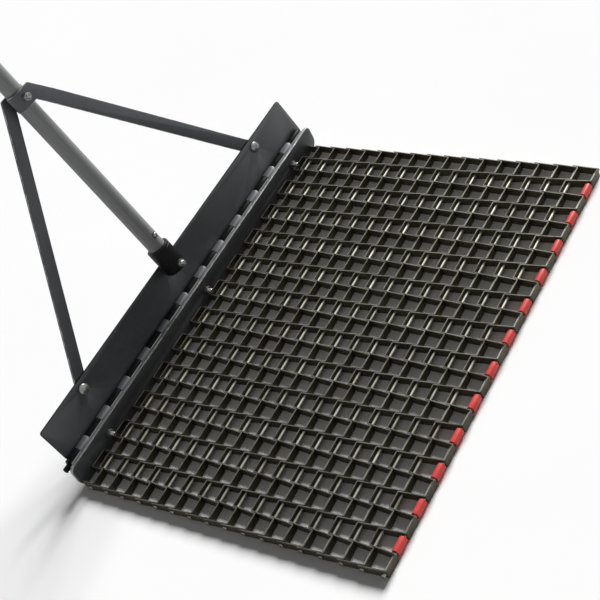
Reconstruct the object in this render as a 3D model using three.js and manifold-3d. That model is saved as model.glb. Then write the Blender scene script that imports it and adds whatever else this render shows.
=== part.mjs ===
// Drag mat for levelling soil: a belt of flat-wire strips on cross rods, a steel bar with a
// hinge, a leaning leader plate, a tubular pole and two flat braces.
// Millimetres, +Z up. Origin: middle of the steel bar's underside. +X runs from the bar to the
// free edge of the mat, Y runs along the bar.
import * as THREE from 'three';
import { mergeVertices } from 'three/addons/utils/BufferGeometryUtils.js';
import Module from 'manifold-3d';

const wasm = await Module();
wasm.setup();

// Counts
const columnCount = 25;            // openings across the mat
const rowCount = 16;               // full strips along the mat
const tongueCount = 12;            // rolled tongues on the leader plate
const barBoltCount = 3;

// Mat
const columnPitch = 25.4;
const rodPitch = 28.6;
const stripHeight = 12.7;
const stripThickness = 1.6;
const rodRadius = 2.3;
const rodEndPast = 1.8;            // rod end past the outermost strip leg
const rodPlay = 0.3;               // rod to the end of its slot
const rodRise = 0.25;              // rod to the top and bottom of its slot
const flatPlay = 0.45;             // rod to the strip's flat
const legGap = 0.35;               // between the legs of neighbouring strips
const matOffset = -7;              // middle of the mat from the middle of the bar
const sleeveRadius = 5.2;
const sleeveGap = 0.8;             // sleeve end to the leg beside it

// Bar
const barLength = 654;
const barHeight = 38.5;
const barThickness = 5;
const barFootRadius = 15;
const barTopRadius = 8;
const barBoltHeight = 21;
const firstRodPast = 16;           // rod 0 from the front of the bar

// Hinge and leader plate
const hingeHeight = 34.4;          // pin axis above the floor
const hingeOffset = 6.2;           // middle of the plate from the middle of the bar
const pinRadius = 4;
const pinPlay = 0.1;
const pinStartPast = 11;           // pin end at -Y past the leaf
const pinPast = 4;                 // pin end at +Y past the leaf
const knuckleGap = 0.4;
const plateThickness = 3;
const plateWidth = 637;
const plateRise = 58.5;            // pin axis to the plate's top edge
const plateSlotRise = 6.4;         // pin axis to the top of the gaps between tongues
const plateEndGap = 17.2;          // plate's -Y end to the first tongue
const plateEarWidth = 10.2;        // lobe at the +Y end, beside the last gap
const plateEarDrop = 3.4;          // lobe's lower end below the pin axis
const plateLean = 15.9;            // degrees back from upright
const plateCornerRadius = 4;
const tongueWidth = 21.7;
const rollSweep = 296;             // degrees that a tongue turns round the pin
const rollLap = 0.8;               // a roll's straight end laid into its plate
const leafFoot = 8;                // lower edge of the hinge leaf above the floor
const leafClear = 1.6;             // leaf's upper edge below the tongues' rolls
const leafPast = 4.5;              // leaf's -Y end past the plate
const leafStartInset = 66.2;       // leaf's -Y end to the first bar bolt
const leafEndInset = 52.7;         // last bar bolt to the leaf's +Y end

// Pole
const poleRadius = 12.7;
const poleWall = 1.6;
const poleOffset = -14.2;          // pole from the middle of the plate
const poleFoot = 47;               // pin axis to the pole's lower end
const poleLength = 1370;
const socketRadius = 17;
const socketFoot = 42;
const socketRim = 87;
const socketRound = 6;
const socketBoltRise = 52;
const gripRadius = 16.5;
const gripLength = 125;
const gripEndWall = 4;
const gripRound = 5;
const buttonRise = 105.5;
const buttonTurn = 14;             // degrees round the pole from its front
const buttonRadius = 3.6;
const buttonStand = 3.2;           // button above the pole's surface
const buttonShoulder = 1.8;        // height of the button's dome
const buttonCrownRadius = 2.7;
const buttonCrownDrop = 0.6;       // dome's tip to its crown
const buttonFlangeRadius = 5.4;
const buttonFlangeThickness = 1.5;

// Braces
const braceThickness = 3;
const braceWidth = 19;
const braceBoltRise = 44.4;
const braceBoltInset = 86.5;       // brace bolts from the plate's ends
const braceBendPast = 6;           // lower bend past the plate's top edge
const braceUpperBend = 22;         // upper bend below the clamp bolt
const clampRise = 364;
const clampBand = 24;              // band width along the pole

// Fasteners
const boltRadius = 3;
const boltPlay = 0.2;
const boltPast = 6;                // thread end past the nut
const clampBoltPast = 2;
const domeBoltPast = 3;
const nutAcross = 10;
const nutThickness = 5;
const headThickness = 4;
const domeRadius = 8;
const domeHeight = 4.2;

// Fits and steps
const seatGap = 0.25;              // between faces that are drawn together
const overrun = 2;                 // cutters past the faces they cut
const roundSteps = 12;
const smallSteps = 8;
const rodSides = 6;
const holeSteps = 8;
const rollSteps = 7;
const poleSteps = 14;
const cornerSteps = 3;

const rad = (degrees) => THREE.MathUtils.degToRad(degrees);
const material = (color, roughness, metalness) =>
  new THREE.MeshStandardMaterial({ color, roughness, metalness });
const matSteel = material(0x4a4a48, 0.5, 0.7);
const rodSteel = material(0x6b6a66, 0.4, 0.8);
const paintedSteel = material(0x3c3f40, 0.55, 0.4);
const blackPlastic = material(0x101113, 0.45, 0);
const redPlastic = material(0xb93a35, 0.4, 0);
const tubeSteel = material(0x6c6d6c, 0.4, 0.6);
const zinc = material(0xb9bab6, 0.3, 0.9);
const rubber = material(0x1b1b1c, 0.8, 0);

// Solids
function solid(geometry) {
  const bare = geometry.clone();
  bare.deleteAttribute('normal');
  bare.deleteAttribute('uv');
  const merged = mergeVertices(bare, 1e-4);
  const index = merged.index.array;
  const kept = [];
  for (let i = 0; i < index.length; i += 3) {
    const [a, b, c] = [index[i], index[i + 1], index[i + 2]];
    if (a !== b && b !== c && c !== a) kept.push(a, b, c);
  }
  return new wasm.Manifold(new wasm.Mesh({
    numProp: 3,
    vertProperties: new Float32Array(merged.attributes.position.array),
    triVerts: new Uint32Array(kept),
  }));
}

function geometryOf(body) {
  const mesh = body.getMesh();
  const geometry = new THREE.BufferGeometry();
  geometry.setAttribute('position', new THREE.BufferAttribute(
    new Float32Array(mesh.vertProperties), mesh.numProp));
  geometry.setIndex(new THREE.BufferAttribute(new Uint32Array(mesh.triVerts), 1));
  return geometry.toNonIndexed();
}

const axes = {
  // outline drawn in (y, z), pushed out along +X
  x: new THREE.Matrix4().makeBasis(
    new THREE.Vector3(0, 1, 0), new THREE.Vector3(0, 0, 1), new THREE.Vector3(1, 0, 0)),
  // outline drawn in (x, z), pushed out along -Y
  y: new THREE.Matrix4().makeBasis(
    new THREE.Vector3(1, 0, 0), new THREE.Vector3(0, 0, 1), new THREE.Vector3(0, -1, 0)),
  // outline drawn in (x, y), pushed out along +Z
  z: new THREE.Matrix4(),
};

function pushed(shape, depth, axis, start = 0, steps = cornerSteps) {
  const geometry = new THREE.ExtrudeGeometry(
    shape, { depth, bevelEnabled: false, curveSegments: steps });
  geometry.translate(0, 0, start);
  return geometry.applyMatrix4(axes[axis]);
}

// a round bar along x, y or z, from start to start + length
function roundBar(radius, length, axis, start = 0, steps = roundSteps) {
  const geometry = new THREE.CylinderGeometry(radius, radius, length, steps);
  if (axis === 'z') geometry.rotateX(Math.PI / 2).translate(0, 0, start + length / 2);
  if (axis === 'y') geometry.translate(0, start + length / 2, 0);
  if (axis === 'x') geometry.rotateZ(Math.PI / 2).translate(start + length / 2, 0, 0);
  return geometry;
}

const turned = (points, steps) =>
  new THREE.LatheGeometry(points.map(([r, h]) => new THREE.Vector2(r, h)), steps);

// rectangle with its own radius at the two upper and the two lower corners
function roundedRect(shape, left, right, low, high, lowRadius, highRadius) {
  shape.moveTo(left + lowRadius, low);
  shape.lineTo(right - lowRadius, low);
  shape.absarc(right - lowRadius, low + lowRadius, lowRadius, -Math.PI / 2, 0, false);
  shape.lineTo(right, high - highRadius);
  shape.absarc(right - highRadius, high - highRadius, highRadius, 0, Math.PI / 2, false);
  shape.lineTo(left + highRadius, high);
  shape.absarc(left + highRadius, high - highRadius, highRadius, Math.PI / 2, Math.PI, false);
  shape.lineTo(left, low + lowRadius);
  shape.absarc(left + lowRadius, low + lowRadius, lowRadius, Math.PI, Math.PI * 1.5, false);
  return shape;
}

function evenSided(corner, sides) {
  const points = [];
  for (let i = 0; i < sides; i += 1) {
    const a = 2 * Math.PI * i / sides;
    points.push(new THREE.Vector2(corner * Math.cos(a), corner * Math.sin(a)));
  }
  return new THREE.Shape(points);
}

// hole whose flats, and not its corners, lie on the radius
function roundHole(x, y, radius) {
  const corner = radius / Math.cos(Math.PI / holeSteps);
  const points = [];
  for (let i = 0; i < holeSteps; i += 1) {
    const a = -2 * Math.PI * i / holeSteps;
    points.push(new THREE.Vector2(x + corner * Math.cos(a), y + corner * Math.sin(a)));
  }
  return new THREE.Path(points);
}

// Sizes that follow
const halfSlotHeight = rodRadius + rodRise;
const flatReach = rodRadius + flatPlay + stripThickness / 2;
const stripOuterReach = flatReach + stripThickness / 2;
const legShift = (stripThickness + legGap) * (rodPitch + 2 * flatReach) / (2 * rodPitch);
const matHalf = columnCount * columnPitch / 2;
const rodHeight = stripHeight / 2;
const firstRodX = barThickness / 2 + firstRodPast;
const rodX = (i) => firstRodX + i * rodPitch;
const rodLength = 2 * (matHalf + legShift + stripThickness / 2 + rodEndPast);

const rollStep = rad(rollSweep / rollSteps);
const knuckleInner = (pinRadius + pinPlay) / Math.cos(rollStep / 2);
const knuckleOuter = knuckleInner + plateThickness;
const hingeX = -(barThickness / 2 + seatGap + knuckleOuter);
const plateHalf = plateWidth / 2;
const hingePitch = (plateWidth - plateEndGap - plateEarWidth) / tongueCount;
const tongueStart = (i) => -plateHalf + plateEndGap + i * hingePitch;
const leafStart = -plateHalf - leafPast;
const leafEnd = tongueStart(tongueCount) - knuckleGap;
const barBoltPitch = (leafEnd - leafStart - leafStartInset - leafEndInset) / (barBoltCount - 1);
const barBoltY = (i) => hingeOffset + leafStart + leafStartInset + i * barBoltPitch;
const braceBoltReach = plateHalf - braceBoltInset;
const socketBore = poleRadius + seatGap;
const poleX = -knuckleInner + seatGap + socketRadius;
const boltHole = boltRadius + boltPlay;
const hexCorner = nutAcross / Math.sqrt(3);

// Mat strips
// A flat wire on edge, bent to a square wave. Its flats pass round the outer side of both rods,
// and each leg leans a little, so that the legs of two neighbours lie side by side on a rod.
function ribbon(path, thickness) {
  const left = [];
  const right = [];
  const count = path.length;
  path.forEach((point, i) => {
    const before = new THREE.Vector2().subVectors(path[Math.max(i, 1)], path[Math.max(i, 1) - 1]);
    const next = Math.min(i, count - 2);
    const after = new THREE.Vector2().subVectors(path[next + 1], path[next]);
    const sideBefore = new THREE.Vector2(-before.y, before.x).normalize();
    const sideAfter = new THREE.Vector2(-after.y, after.x).normalize();
    const side = sideBefore.clone().add(sideAfter).normalize();
    const reach = thickness / 2 / side.dot(sideBefore);
    left.push(point.clone().addScaledVector(side, reach));
    right.unshift(point.clone().addScaledVector(side, -reach));
  });
  return new THREE.Shape([...left, ...right]);
}

// nearX: line of the flats on the bar's side, in odd columns; farX: line of the other flats.
// nearShift: how far a leg's near end is moved toward its odd column.
function wave(nearX, farX, endX, nearShift, farShift) {
  const path = [];
  for (let k = 0; k <= columnCount; k += 1) {
    const y = -matHalf + k * columnPitch;
    const toOdd = k % 2 === 0 ? -1 : 1;          // the odd column lies on this side of the leg
    const near = new THREE.Vector2(k === 0 || k === columnCount ? endX : nearX,
      y + toOdd * nearShift);
    const far = new THREE.Vector2(farX, y - toOdd * farShift);
    if (k % 2 === 0) path.push(near, far); else path.push(far, near);
  }
  return path;
}

function cutStrip(path, slotStart, slotEnd) {
  const body = solid(pushed(ribbon(path, stripThickness), stripHeight, 'z'));
  const slot = new THREE.BoxGeometry(
    slotEnd - slotStart, 2 * (matHalf + columnPitch), 2 * halfSlotHeight);
  slot.translate((slotStart + slotEnd) / 2, 0, rodHeight);
  return geometryOf(body.subtract(solid(slot)));
}

// strip between rod 0 and the next one, used for every row
const stripGeometry = cutStrip(
  wave(-flatReach, rodPitch + flatReach, -stripOuterReach, legShift, legShift),
  -(rodRadius + rodPlay), rodPitch + rodRadius + rodPlay);

// short first strip: its near flats lie against the bar, its far flats pass round rod 0
const anchorNear = -firstRodPast + seatGap + stripThickness / 2;
const anchorGeometry = cutStrip(
  wave(anchorNear, flatReach, anchorNear - stripThickness / 2, -legShift, legShift),
  -(rodRadius + rodPlay), rodRadius + rodPlay);

const rodGeometry = pushed(evenSided(rodRadius, rodSides), rodLength, 'y', -rodLength / 2);

// last rod with a sleeve in every odd column, turned as one stepped bar
function sleevedRod() {
  const profile = [[0, -rodLength / 2], [rodRadius, -rodLength / 2]];
  const inset = legShift + stripThickness / 2 + sleeveGap;
  for (let column = 1; column < columnCount; column += 2) {
    const start = -matHalf + column * columnPitch + inset;
    const end = -matHalf + (column + 1) * columnPitch - inset;
    profile.push([rodRadius, start], [sleeveRadius, start], [sleeveRadius, end], [rodRadius, end]);
  }
  profile.push([rodRadius, rodLength / 2], [0, rodLength / 2]);
  return turned(profile, rodSides).rotateY(Math.PI / rodSides);
}

// Bar, leaf and plate
function barGeometry() {
  const shape = roundedRect(new THREE.Shape(), -barLength / 2, barLength / 2, 0, barHeight,
    barFootRadius, barTopRadius);
  for (let i = 0; i < barBoltCount; i += 1) {
    shape.holes.push(roundHole(barBoltY(i), barBoltHeight, boltHole));
  }
  return pushed(shape, barThickness, 'x', -barThickness / 2);
}

// Section of a rolled knuckle round the pin, in (x, z) about the pin axis. The sheet comes in
// straight at -X and rolls under the pin to the front and over the top.
function rolledSection(straight) {
  const shape = new THREE.Shape();
  shape.moveTo(-knuckleOuter, straight);
  for (let i = 0; i <= rollSteps; i += 1) {
    const a = Math.PI + i * rollStep;
    shape.lineTo(knuckleOuter * Math.cos(a), knuckleOuter * Math.sin(a));
  }
  for (let i = rollSteps; i >= 0; i -= 1) {
    const a = Math.PI + i * rollStep;
    shape.lineTo(knuckleInner * Math.cos(a), knuckleInner * Math.sin(a));
  }
  shape.lineTo(-knuckleInner, straight);
  return shape;
}

function plateGeometry() {
  const half = plateHalf;
  const shape = new THREE.Shape();
  shape.moveTo(-half, plateSlotRise);
  for (let i = 0; i < tongueCount; i += 1) {
    shape.lineTo(tongueStart(i), plateSlotRise);
    shape.lineTo(tongueStart(i), 0);
    shape.lineTo(tongueStart(i) + tongueWidth, 0);
    shape.lineTo(tongueStart(i) + tongueWidth, plateSlotRise);
  }
  shape.lineTo(half - plateEarWidth, plateSlotRise);
  shape.lineTo(half - plateEarWidth, -plateEarDrop);
  shape.absarc(half - plateCornerRadius, plateCornerRadius - plateEarDrop, plateCornerRadius,
    -Math.PI / 2, 0, false);
  shape.lineTo(half, plateRise - plateCornerRadius);
  shape.absarc(half - plateCornerRadius, plateRise - plateCornerRadius, plateCornerRadius,
    0, Math.PI / 2, false);
  shape.lineTo(-half + plateCornerRadius, plateRise);
  shape.absarc(-half + plateCornerRadius, plateRise - plateCornerRadius, plateCornerRadius,
    Math.PI / 2, Math.PI, false);
  for (const side of [-1, 1]) {
    shape.holes.push(roundHole(side * braceBoltReach, braceBoltRise, boltHole));
  }
  shape.holes.push(roundHole(poleOffset, socketBoltRise, boltHole));
  let body = solid(pushed(shape, plateThickness, 'x', -knuckleOuter));
  const roll = pushed(rolledSection(rollLap), tongueWidth, 'y', -tongueWidth);
  for (let i = 0; i < tongueCount; i += 1) {
    body = body.add(solid(roll.clone().translate(0, tongueStart(i), 0)));
  }
  return geometryOf(body);
}

// the leaf stands in front of the pin and rolls the other way, so its section is turned over
function leafGeometry() {
  const top = -(knuckleOuter + leafClear);
  const low = leafFoot - hingeHeight;
  const shape = new THREE.Shape();
  shape.moveTo(leafStart, low);
  shape.lineTo(leafEnd, low);
  shape.lineTo(leafEnd, top);
  shape.lineTo(leafStart, top);
  shape.closePath();
  for (let i = 0; i < barBoltCount; i += 1) {
    shape.holes.push(roundHole(barBoltY(i) - hingeOffset, barBoltHeight - hingeHeight, boltHole));
  }
  let body = solid(pushed(shape, plateThickness, 'x', knuckleInner));
  const section = rolledSection(knuckleOuter + leafClear + rollLap);
  for (let i = 0; i <= tongueCount; i += 1) {
    const start = i === 0 ? leafStart : tongueStart(i - 1) + tongueWidth + knuckleGap;
    const width = tongueStart(i) - knuckleGap - start;
    const roll = pushed(section, width, 'y', -width).rotateY(Math.PI);
    body = body.add(solid(roll.translate(0, start, 0)));
  }
  return geometryOf(body);
}

const pinStart = leafStart - pinStartPast;
const pinGeometry = roundBar(pinRadius, leafEnd + pinPast - pinStart, 'y', pinStart);

// Pole, socket, grip and button
function poleGeometry() {
  const inner = poleRadius - poleWall;
  const tube = turned([
    [inner, poleFoot], [poleRadius, poleFoot], [poleRadius, poleFoot + poleLength],
    [inner, poleFoot + poleLength], [inner, poleFoot]], poleSteps).rotateX(Math.PI / 2);
  let body = solid(tube);
  const across = 2 * (poleRadius + overrun);
  for (const rise of [socketBoltRise, clampRise]) {
    body = body.subtract(solid(
      roundBar(boltHole, across, 'x', -across / 2).translate(0, 0, rise)));
  }
  const buttonHole = roundBar(buttonRadius + boltPlay, poleRadius + overrun, 'x')
    .rotateZ(rad(buttonTurn)).translate(0, 0, buttonRise);
  return geometryOf(body.subtract(solid(buttonHole)));
}

function socketGeometry() {
  const profile = [[0, socketFoot]];
  for (let i = 0; i <= cornerSteps; i += 1) {
    const a = Math.PI / 2 * i / cornerSteps;
    profile.push([socketRadius - socketRound * (1 - Math.sin(a)),
      socketFoot + socketRound * (1 - Math.cos(a))]);
  }
  profile.push([socketRadius, socketRim], [socketBore, socketRim],
    [socketBore, poleFoot - seatGap], [0, poleFoot - seatGap]);
  const across = 2 * (socketRadius + overrun);
  const bolt = roundBar(boltHole, across, 'x', -across / 2).translate(0, 0, socketBoltRise);
  return geometryOf(solid(turned(profile, poleSteps).rotateX(Math.PI / 2))
    .subtract(solid(bolt)));
}

function gripGeometry() {
  const top = poleFoot + poleLength + seatGap + gripEndWall;
  const foot = top - gripLength;
  const bore = poleRadius + seatGap;
  const profile = [[bore, foot], [gripRadius, foot]];
  for (let i = 0; i <= cornerSteps; i += 1) {
    const a = Math.PI / 2 * i / cornerSteps;
    profile.push([gripRadius - gripRound * (1 - Math.cos(a)),
      top - gripRound * (1 - Math.sin(a))]);
  }
  profile.push([0, top], [0, top - gripEndWall], [bore, top - gripEndWall], [bore, foot]);
  return turned(profile, poleSteps).rotateX(Math.PI / 2);
}

// sprung button: a pin with a domed end, and a flange that rests inside the tube
function buttonGeometry() {
  const inner = poleRadius - poleWall;
  const seat = Math.sqrt(inner * inner - buttonFlangeRadius * buttonFlangeRadius) - seatGap;
  const tip = poleRadius + buttonStand;
  const profile = [[0, seat - buttonFlangeThickness],
    [buttonFlangeRadius, seat - buttonFlangeThickness], [buttonFlangeRadius, seat],
    [buttonRadius, seat], [buttonRadius, tip - buttonShoulder],
    [buttonCrownRadius, tip - buttonCrownDrop], [0, tip]];
  return turned(profile, smallSteps).rotateZ(-Math.PI / 2).rotateZ(rad(buttonTurn));
}

// Braces
// Each brace is a strap with two bends that run across it: a foot flat on the back of the plate,
// a long straight part, and an end that lies on the pole and turns a quarter of the way round it.
function braceGeometry(side) {
  const footX = -(knuckleOuter + seatGap + braceThickness);
  const onPole = poleRadius + seatGap;
  const padX = side > 0 ? poleX + onPole : poleX - onPole - braceThickness;
  const bandLow = clampRise - clampBand / 2;
  const bandHigh = clampRise + clampBand / 2;
  const lowBend = plateRise + braceBendPast;
  const highBend = clampRise - braceUpperBend;
  const foot = braceBoltRise - braceWidth;
  // side view: the sheet's line from the foot to the band, with the thickness along X
  const bends = [[footX, foot], [footX, lowBend], [padX, highBend], [padX, bandHigh]];
  const profile = new THREE.Shape([
    ...bends.map(([x, z]) => new THREE.Vector2(x, z)),
    ...bends.slice().reverse().map(([x, z]) => new THREE.Vector2(x + braceThickness, z)),
  ]);
  // front view, drawn for this side: strap with a round foot, opening into the band
  const boltY = side * braceBoltReach;
  const run = new THREE.Vector2(poleOffset + side * poleRadius - boltY, clampRise - braceBoltRise);
  const along = run.clone().normalize();
  const across = new THREE.Vector2(along.y, -along.x);
  const edge = (sign, z) => {
    const from = new THREE.Vector2(boltY, braceBoltRise)
      .addScaledVector(across, sign * braceWidth / 2);
    return new THREE.Vector2(from.x + along.x * (z - from.y) / along.y, z);
  };
  const outer = side > 0 ? 1 : -1;               // across points to +Y, away from the pole here
  const points = [];
  const start = Math.atan2(across.y, across.x);
  for (let i = 0; i <= roundSteps / 2; i += 1) {
    const a = start - Math.PI * i / (roundSteps / 2);
    points.push(new THREE.Vector2(boltY + braceWidth / 2 * Math.cos(a),
      braceBoltRise + braceWidth / 2 * Math.sin(a)));
  }
  // left edge upward, band, right edge downward
  const leftTop = outer > 0 ? [edge(-1, bandLow), new THREE.Vector2(poleOffset, bandLow),
    new THREE.Vector2(poleOffset, bandHigh)] : [edge(-1, bandHigh)];
  const rightTop = outer > 0 ? [edge(1, bandHigh)] : [new THREE.Vector2(poleOffset, bandHigh),
    new THREE.Vector2(poleOffset, bandLow), edge(1, bandLow)];
  const front = new THREE.Shape([...points, ...leftTop, ...rightTop].reverse());
  const hole = roundHole(boltY, braceBoltRise, boltHole);
  front.holes.push(hole);
  const deep = 2 * (poleX + socketRadius + overrun);
  const wide = 2 * (braceBoltReach + braceWidth + overrun);
  let body = solid(pushed(profile, wide, 'y', -wide / 2))
    .intersect(solid(pushed(front, deep, 'x', -deep / 2)));
  // quarter band round the pole
  const band = new THREE.Shape();
  const quarter = roundSteps / 3;
  const from = side > 0 ? 0 : Math.PI;
  const ring = (radius, i) => new THREE.Vector2(
    radius * Math.cos(from - Math.PI / 2 * i / quarter),
    radius * Math.sin(from - Math.PI / 2 * i / quarter));
  const ringPoints = [];
  const overlap = side * braceThickness;
  ringPoints.push(new THREE.Vector2(side * onPole, overlap));
  for (let i = 0; i <= quarter; i += 1) ringPoints.push(ring(onPole, i));
  for (let i = quarter; i >= 0; i -= 1) ringPoints.push(ring(onPole + braceThickness, i));
  ringPoints.push(new THREE.Vector2(side * (onPole + braceThickness), overlap));
  band.setFromPoints(ringPoints);
  const wrap = pushed(band, clampBand, 'z', bandLow).translate(poleX, poleOffset, 0);
  body = body.add(solid(wrap));
  const reach = 2 * (poleX + socketRadius);
  return geometryOf(body.subtract(solid(roundBar(boltHole, reach, 'x', -reach / 2)
    .translate(poleX, poleOffset, clampRise))));
}

// Fasteners, along +X from the face under the head
function boltGeometry(grip, past = boltPast) {
  const head = pushed(evenSided(hexCorner, 6), headThickness, 'x', -headThickness);
  const shank = pushed(evenSided(boltRadius, holeSteps),
    grip + nutThickness + past + headThickness / 2, 'x', -headThickness / 2);
  return geometryOf(solid(head).add(solid(shank)));
}

function nutGeometry() {
  const shape = evenSided(hexCorner, 6);
  shape.holes.push(roundHole(0, 0, boltHole));
  return pushed(shape, nutThickness, 'x', 0, 4);
}

// dome head at +X, shank toward -X
function domeBoltGeometry(grip) {
  const end = -(grip + nutThickness + domeBoltPast);
  const profile = [[0, end], [boltRadius, end], [boltRadius, 0], [domeRadius, 0]];
  for (let i = 1; i <= cornerSteps; i += 1) {
    const a = Math.PI / 2 * i / cornerSteps;
    profile.push([domeRadius * Math.cos(a), domeHeight * Math.sin(a)]);
  }
  profile[profile.length - 1][0] = 0;
  return turned(profile, smallSteps).rotateZ(-Math.PI / 2);
}

// Assembly
const dragMat = new THREE.Group();
dragMat.name = 'drag_mat';

function place(parent, name, geometry, look, x = 0, y = 0, z = 0) {
  const mesh = new THREE.Mesh(geometry, look);
  mesh.name = name;
  mesh.position.set(x, y, z);
  parent.add(mesh);
  return mesh;
}

const two = (n) => String(n).padStart(2, '0');

const mat = new THREE.Group();
mat.position.set(0, matOffset, 0);
dragMat.add(mat);
place(mat, 'anchor_strip', anchorGeometry, matSteel, rodX(0));
for (let i = 1; i <= rowCount; i += 1) {
  place(mat, `strip_${two(i)}`, stripGeometry, matSteel, rodX(i - 1));
}
for (let i = 0; i < rowCount; i += 1) {
  place(mat, `rod_${two(i)}`, rodGeometry, rodSteel, rodX(i), 0, rodHeight);
}
place(mat, `rod_${two(rowCount)}_sleeves`, sleevedRod(), redPlastic, rodX(rowCount), 0, rodHeight);

place(dragMat, 'mat_bar', barGeometry(), paintedSteel);
place(dragMat, 'hinge_leaf', leafGeometry(), paintedSteel, hingeX, hingeOffset, hingeHeight);
const leafBack = hingeX + knuckleInner;
const barFront = barThickness / 2;
const barBolt = boltGeometry(barFront + 2 * seatGap - leafBack + seatGap);
for (let i = 0; i < barBoltCount; i += 1) {
  place(dragMat, `bar_bolt_${i + 1}`, barBolt, zinc, leafBack - seatGap, barBoltY(i), barBoltHeight);
  place(dragMat, `bar_nut_${i + 1}`, nutGeometry(), zinc, barFront + seatGap, barBoltY(i),
    barBoltHeight);
}

// everything on the leader plate is drawn about the pin axis and leans with it
const lead = new THREE.Group();
lead.position.set(hingeX, hingeOffset, hingeHeight);
lead.rotation.y = -rad(plateLean);
dragMat.add(lead);
place(lead, 'leader_plate', plateGeometry(), paintedSteel);
place(lead, 'hinge_pin', pinGeometry, zinc);
place(lead, 'pole', poleGeometry(), tubeSteel, poleX, poleOffset);
place(lead, 'pole_socket', socketGeometry(), blackPlastic, poleX, poleOffset);
place(lead, 'hand_grip', gripGeometry(), rubber, poleX, poleOffset);
place(lead, 'snap_button', buttonGeometry(), zinc, poleX, poleOffset, buttonRise);
place(lead, 'brace_right', braceGeometry(1), paintedSteel);
place(lead, 'brace_left', braceGeometry(-1), paintedSteel);

const plateBack = -knuckleOuter;
const socketFront = poleX + socketRadius;
place(lead, 'socket_bolt', boltGeometry(socketFront - plateBack + 2 * seatGap), zinc,
  plateBack - seatGap, poleOffset, socketBoltRise);
place(lead, 'socket_nut', nutGeometry(), zinc, socketFront + seatGap, poleOffset, socketBoltRise);

const clampHalf = poleRadius + seatGap + braceThickness + seatGap;
place(lead, 'clamp_bolt', boltGeometry(2 * clampHalf, clampBoltPast), zinc, poleX - clampHalf,
  poleOffset, clampRise);
place(lead, 'clamp_nut', nutGeometry(), zinc, poleX + clampHalf, poleOffset, clampRise);

const braceBack = plateBack - seatGap - braceThickness - seatGap;
const plateFront = -knuckleInner + seatGap;
[['right', 1], ['left', -1]].forEach(([name, side]) => {
  place(lead, `brace_bolt_${name}`, domeBoltGeometry(plateFront - braceBack), zinc,
    plateFront, side * braceBoltReach, braceBoltRise);
  place(lead, `brace_nut_${name}`, nutGeometry(), zinc, braceBack - nutThickness,
    side * braceBoltReach, braceBoltRise);
});

export default dragMat;
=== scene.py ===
# Drag mat: fine meshes, finishes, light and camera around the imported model.
# Angles are in degrees. Sizes are in millimetres until piece() takes a mesh to metres, and only
# the stage, the camera and the grain of the finishes are written in metres.
import math

import bmesh
import bpy
from mathutils import Matrix, Vector


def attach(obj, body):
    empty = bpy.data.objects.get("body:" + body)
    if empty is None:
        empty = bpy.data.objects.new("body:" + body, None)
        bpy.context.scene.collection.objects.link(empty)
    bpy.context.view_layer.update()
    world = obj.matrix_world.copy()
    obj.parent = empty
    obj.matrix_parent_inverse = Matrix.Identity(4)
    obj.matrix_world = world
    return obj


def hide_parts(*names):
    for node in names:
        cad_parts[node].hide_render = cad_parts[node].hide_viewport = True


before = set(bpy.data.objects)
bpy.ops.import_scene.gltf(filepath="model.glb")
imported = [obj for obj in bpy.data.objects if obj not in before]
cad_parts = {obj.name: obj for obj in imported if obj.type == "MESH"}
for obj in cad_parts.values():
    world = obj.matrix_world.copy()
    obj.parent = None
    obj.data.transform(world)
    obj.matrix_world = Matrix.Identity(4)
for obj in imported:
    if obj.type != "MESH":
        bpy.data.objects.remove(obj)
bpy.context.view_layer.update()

mm = 0.001

# counts
column_count = 25
row_count = 16
tongue_count = 12
bar_bolt_count = 3

# mat
column_pitch = 25.4
rod_pitch = 28.6
strip_height = 12.7
strip_thickness = 1.6
strip_edge = 0.3              # chamfer along the wire's edges
strip_bend = 1.05             # bend radius at the middle of the wire
strip_hole = 2.5              # radius of the holes that the rods pass through
hole_reach = 4.4              # half the length of leg that is meshed round a hole
rod_radius = 2.3
rod_end_past = 1.8
rod_head_radius = 3.2
rod_head_length = 1.4
flat_play = 0.45
leg_gap = 0.35
mat_offset = -7
sleeve_radius = 5.2
sleeve_wall = 2.7
sleeve_gap = 0.4
sleeve_round = 0.7

# bar
bar_length = 654
bar_height = 38.5
bar_thickness = 5
bar_foot_radius = 15
bar_top_radius = 8
bar_edge = 0.7
bar_bolt_height = 21
first_rod_past = 16

# hinge and leader plate
hinge_height = 34.4
hinge_offset = 6.2
pin_radius = 4
pin_play = 0.1
pin_start_past = 11
pin_past = 4
pin_edge = 0.8
knuckle_gap = 0.4
plate_thickness = 3
plate_width = 637
plate_rise = 58.5
plate_slot_rise = 6.4
plate_slot_lip = 0.5          # the gaps' upper edge comes down this much nearer the knuckles
plate_end_gap = 17.2
plate_ear_width = 10.2
plate_ear_drop = 3.4
plate_lean = 15.9
plate_corner_radius = 4
plate_edge = 0.25
tongue_width = 21.7
tongue_light_reach = 42               # a tongue's roll is painted lighter so far up and down from its foremost line: painted light
roll_sweep = 296
roll_facets = 7               # facets of the roll that set its clearance
leaf_foot = 8
leaf_clear = 1.6
leaf_past = 4.5
leaf_start_inset = 66.2
leaf_end_inset = 52.7
highlight_from = 25              # a band of each leaf knuckle has a painted highlight from here, up from its foremost line,
highlight_to = 38                # to here
highlight_facing = 0.2           # least share of a highlighted face's direction that points forward
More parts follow.
